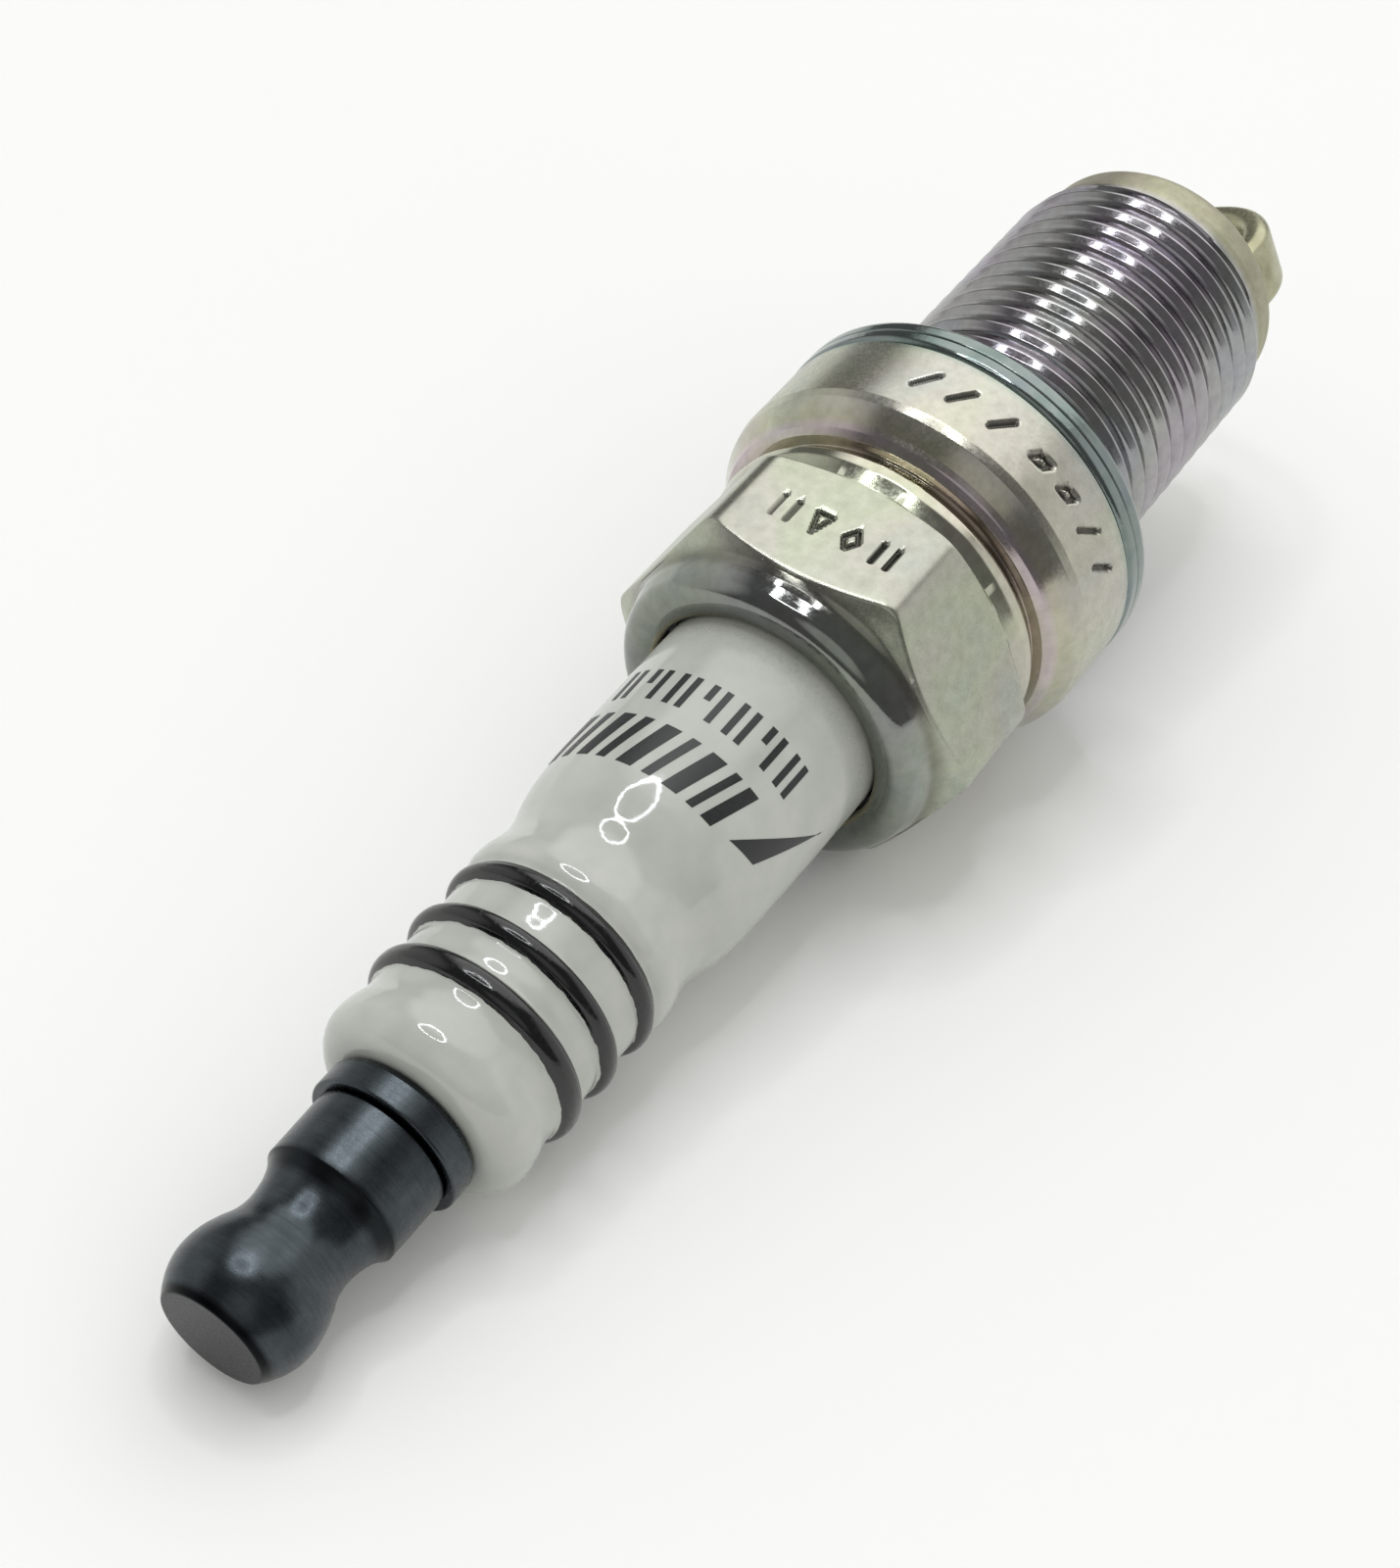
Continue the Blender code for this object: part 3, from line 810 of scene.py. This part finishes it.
def make_insulator():
    nose = fillet(
        [
            (-3.2, 1.3, 0),
            (CERAMIC_TIP, 1.3, 0.1),
            (CERAMIC_TIP, 2.05, 0.25),
            (-11.0, 3.0, 1.5),
            (-9.6, 3.5, 0.3),
            (-8.9, 3.65, 0.1),
            (-7.9, 4.35, 0.2),
            (1.7, 4.35, 0.3),
            (3.6, 6.2, 0.3),
            (11.0, 6.2, 0.3),
            (12.0, BODY_RADIUS, 0.3),
            (15.8, BODY_RADIUS, 0),
        ]
    )
    bore = [(41.55, 2.0), (-2.6, 2.0), (-3.2, 1.3)]
    piece = turned("glazed_insulator", nose[:-1] + ceramic_body() + bore, ceramic_look(), 256, 45)
    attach(piece, "plug")
    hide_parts("insulator")


def print_patch(corners, body_z, body_r):
    """A thin film of ink on the ceramic, a closed patch over four (azimuth, z) corners."""
    first, second, third, fourth = np.array(corners, float)
    u = np.linspace(0, 1, 9)[:, None, None]
    v = np.linspace(0, 1, 13)[None, :, None]
    spread = (1 - u) * (1 - v) * first + (1 - u) * v * second + u * v * third + u * (1 - v) * fourth
    azimuths, z = np.radians(spread[..., 0]), spread[..., 1]
    faces = []
    for proud in (0.002, 0.016):
        r = np.interp(z, body_z, body_r) + proud
        faces.append(np.stack([r * np.cos(azimuths), r * np.sin(azimuths), z], -1))
    below, above = faces
    edges = (0, slice(None)), (-1, slice(None)), (slice(None), 0), (slice(None), -1)
    rim = [np.stack([below[edge], above[edge]]) for edge in edges]
    return [(sheet, None) for sheet in [below, above] + rim]


def make_printed_marks():
    """Plain bars in place of the maker's printing: a fine row by the lip, and a bold slanted row
    that ends in a long wedge."""
    body = np.array(ceramic_body())
    sheets = []

    def bar(azimuth, width, low, high, slant):
        end = azimuth + width
        corners = [(azimuth, low), (end, low), (end + slant, high), (azimuth + slant, high)]
        sheets.extend(print_patch(corners, body[:, 0], body[:, 1]))

    fine_low, fine_high = 20.35, 22.2
    for step in range(7):
        start = -54 + step * 15.5
        bar(start, 3.2, fine_low, fine_high, 0)
        bar(start + 6.6, 3.2, fine_low, fine_high - (0.95 if step % 2 else 0), 0)
    bold_low, bold_high = 23.2, 25.8
    azimuths = (-37, -26, -17, -3, 7, 21, 31, 44, 55)
    widths = (6.5, 4, 8, 4.5, 8, 5, 7, 5, 7)
    for azimuth, width in zip(azimuths, widths):
        bar(azimuth - 8, width, bold_low, bold_high, 8)
    wedge = [(-86.5, 20.7), (-86, 20.9), (-47.5, 25.5), (-64.8, 25.1)]
    sheets.extend(print_patch(wedge, body[:, 0], body[:, 1]))
    piece = mesh_object("printed_marks", sheets, ink_look(), 60)
    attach(piece, "plug")


# Terminal


def make_terminal():
    neck = [(46.32, 2.88), (46.7, 2.68), (47.3, 2.5), (48.1, 2.42), (48.8, 2.53), (49.5, 2.82)]
    head = [(50.2, 3.05), (50.9, 3.14), (51.5, 3.1), (52.1, 2.92), (52.6, 2.66)]
    outside = smooth(neck + head, 0.09)
    base = fillet([(43.16, 2.02, 0), (43.16, 3.06, 0.09), (46.16, 3.03, 0.07), outside[0] + (0,)])
    end = fillet([outside[-1] + (0,), (TERMINAL_END, 2.38, 0.16), (TERMINAL_END, 0, 0)])
    bore = [(43.16, 2.02), (50.6, 2.02), (51.1, 0)]
    outline = bore[::-1] + base[1:-1] + outside + end[1:]
    piece = turned("snap_terminal", outline, dark_plating_look(), 192, 32)
    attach(piece, "terminal")
    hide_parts("terminal_nut")


def make_stud():
    """The flange that seats on the ceramic, the thread that carries the terminal and the stem."""
    azimuths = even_columns(144)
    low, high = (43.3, STUD_ROOT), (49.6, STUD_ROOT)
    section = thread_section(STUD_CREST, STUD_ROOT, 8)
    thread = thread_grid(low, high, STUD_PITCH, section, azimuths)
    end = fillet([(*high, 0), (50.0, 1.3, 0.05), (50.0, 0, 0)])
    stem = fillet(
        [
            (*low, 0),
            (43.06, STUD_ROOT, 0.05),
            (43.06, 3.45, 0.12),
            (41.9, 3.45, 0.1),
            (41.62, 3.3, 0.1),
            (41.62, 1.6, 0.05),
            (26.0, 1.6, 0.1),
            (25.5, 1.75, 0.1),
            (21.0, 1.75, 0.1),
            (20.5, 1.5, 0.1),
            (20.5, 0, 0),
        ]
    )
    sheets = [(turned_grid(outline, azimuths), 0) for outline in (end, stem)]
    sheets.append((thread, len(section)))
    piece = mesh_object("flanged_stud", sheets, dark_plating_look(), 40)
    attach(piece, "plug")
    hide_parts("terminal_stud")


# Firing end and the pieces inside


def make_center_electrode():
    outline = fillet(
        [
            (-17.5, 0, 0),
            (-17.5, 0.75, 0.05),
            (-1.4, 0.75, 0.05),
            (-1.4, 1.7, 0.1),
            (-2.55, 1.85, 0.1),
            (-3.1, 1.2, 0.1),
            (-19.7, 1.2, 0.15),
            (-20.0, 0.5, 0.1),
            (-20.1, 0.4, 0.03),
            (-20.1, 0, 0),
        ]
    )
    look = metal_look("centre_nickel_alloy", tone(150, 148, 138), tone(182, 180, 170), 0.32, 2.5)
    piece = turned("centre_wire", outline, look, 96)
    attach(piece, "plug")
    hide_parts("center_electrode")


def make_iridium_tip():
    outline = fillet([(-20.15, 0, 0), (-20.15, 0.3, 0.02), (-20.75, 0.3, 0.05), (-20.75, 0, 0)])
    look = metal_look("iridium", tone(196, 196, 192), tone(216, 216, 212), 0.2, 8.0, 0.004)
    piece = turned("fine_wire_tip", outline, look, 64)
    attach(piece, "plug")
    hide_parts("iridium_tip")


def finish_inner_pieces():
    """The pieces sealed inside keep their shapes and get their own materials."""
    steel = tone(112, 112, 118), tone(140, 140, 146)
    washer = tone(120, 120, 124), tone(150, 150, 154)
    copper = tone(184, 112, 78), tone(214, 142, 104)
    talc = tone(196, 194, 184), tone(226, 224, 214)
    upper_glass = tone(70, 74, 82), tone(104, 108, 116)
    lower_glass = tone(74, 76, 82), tone(110, 108, 110)
    carbon = tone(44, 44, 48), tone(74, 74, 78)
    looks = {
        "lower_packing_washer": metal_look("packing_steel", *washer, 0.4),
        "lower_packing_ring": metal_look("lower_ring_steel", *steel, 0.45),
        "upper_packing_ring": metal_look("upper_ring_steel", *steel, 0.45),
        "talc_fill": powder_look("pressed_talc", *talc, 0.85),
        "upper_glass_seal": powder_look("upper_conductive_glass", *upper_glass, 0.35),
        "lower_glass_seal": powder_look("lower_conductive_glass", *lower_glass, 0.35),
        "resistor": powder_look("carbon_glass_composite", *carbon, 0.7),
        "center_electrode_core": metal_look("copper_core", *copper, 0.3),
    }
    for name, look in looks.items():
        node = frame["nodes"][name]
        node.data.materials.clear()
        node.data.materials.append(look)


# Floor, light and camera


FLOOR_RADIUS = 1.5  # in metres


def make_floor():
    data = bpy.data.meshes.new("floor")
    turns = np.radians(even_columns(96))
    rim = [(FLOOR_RADIUS * math.cos(a), FLOOR_RADIUS * math.sin(a), 0) for a in turns]
    data.from_pydata(rim, [], [range(len(rim))])
    floor = add_object("floor", data)
    look = Look("white_card", Roughness=0.6)
    cloud = look.noise(0.02, 3.0)
    look.set("Base Color", look.mix(cloud, tone(248, 248, 246), tone(250, 250, 248)))
    data.materials.append(look.material)


ROOM_LEVEL = 0.18
BACKDROP_LEVEL = 0.93
FILL_LEVEL = 0.72  # what lights matt surfaces
# Bright areas of the room: direction, outer and inner radius in degrees, level
PANELS = (
    ((0.68, 0.08, 0.72), 43, 27, 1.6),
    ((0.75, -0.65, 0.1), 44, 22, 0.9),
    ((-0.15, 0.97, 0.15), 52, 22, 0.75),
    ((-0.7, -0.35, 0.62), 32, 14, 0.55),
)
RING_DIRECTION = Vector((0.03, 0.17, 0.98)).normalized()
RING_DISTANCE = 0.5
RING_RADIUS = 0.125
RING_WIDTH = 0.018
RING_STRENGTH = 18.0


def make_ring_light():
    """A thin ring lamp high over the plug."""
    steps = 96
    points, faces = [], []
    for radius in (RING_RADIUS - RING_WIDTH, RING_RADIUS):
        for i in range(steps):
            a = 2 * math.pi * i / steps
            points.append((radius * math.cos(a), radius * math.sin(a), 0))
    for i in range(steps):
        after = (i + 1) % steps
        faces.append((i, after, steps + after, steps + i))
    data = bpy.data.meshes.new("ring_lamp")
    data.from_pydata(points, [], faces)
    lamp = add_object("ring_lamp", data)
    lamp.location = RING_DIRECTION * RING_DISTANCE
    lamp.rotation_mode = "QUATERNION"
    lamp.rotation_quaternion = RING_DIRECTION.to_track_quat("Z", "Y")
    glow = bpy.data.materials.new("ring_glow")
    glow.use_nodes = True
    shader = glow.node_tree.nodes["Principled BSDF"]
    shader.inputs["Base Color"].default_value = (0, 0, 0, 1)
    shader.inputs["Emission Color"].default_value = tone(250, 252, 255)
    shader.inputs["Emission Strength"].default_value = RING_STRENGTH
    data.materials.append(glow)
    lamp.visible_camera = False


def make_world():
    """A dim room with bright panels for the metal to reflect, an even fill for matt surfaces and a
    pale backdrop behind it all."""
    world = bpy.data.worlds.new("studio")
    bpy.context.scene.world = world
    world.use_nodes = True
    tree = world.node_tree
    background = tree.nodes["Background"]

    def add(kind, inputs, **settings):
        return add_node(tree, kind, inputs, **settings).outputs

    direction = add("ShaderNodeTexCoord", {})["Generated"]
    level = ROOM_LEVEL
    for centre, wide, narrow, bright in PANELS:
        towards = tuple(Vector(centre).normalized())
        inputs = {0: direction, 1: towards}
        facing = add("ShaderNodeVectorMath", inputs, operation="DOT_PRODUCT")["Value"]
        edges = [math.cos(math.radians(angle)) for angle in (wide, narrow)]
        inputs = {0: facing, 1: edges[0], 2: edges[1], 3: 0.0, 4: bright}
        panel = add("ShaderNodeMapRange", inputs, interpolation_type="SMOOTHSTEP")[0]
        level = add("ShaderNodeMath", {0: panel, 1: level}, operation="MAXIMUM")[0]
    ray = add("ShaderNodeLightPath", {})
    shown = level
    for kind, other in (("Is Diffuse Ray", FILL_LEVEL), ("Is Camera Ray", BACKDROP_LEVEL)):
        inputs = {0: ray[kind], 1: 0.0, 2: 1.0, 3: shown, 4: other}
        shown = add("ShaderNodeMapRange", inputs)[0]
    tree.links.new(shown, background.inputs["Strength"])
    background.inputs["Color"].default_value = (1, 1, 0.985, 1)


def make_camera():
    data = bpy.data.cameras.new("camera")
    data.lens = CAMERA_LENS
    data.sensor_width = 36
    data.clip_start, data.clip_end = 0.005, 10
    camera = add_object("camera", data)
    aim = (CAMERA_TARGET - CAMERA_PLACE).to_track_quat("-Z", "Y").to_matrix().to_4x4()
    roll = Matrix.Rotation(math.radians(CAMERA_ROLL), 4, "Z")
    camera.matrix_world = Matrix.Translation(CAMERA_PLACE) @ aim @ roll
    bpy.context.scene.camera = camera


make_camera()
make_world()
make_ring_light()
make_floor()
bpy.context.scene.view_settings.view_transform = "Standard"

make_shell()
make_gasket()
make_ground_strap()
make_insulator()
make_printed_marks()
make_terminal()
make_stud()
make_center_electrode()
make_iridium_tip()
finish_inner_pieces()
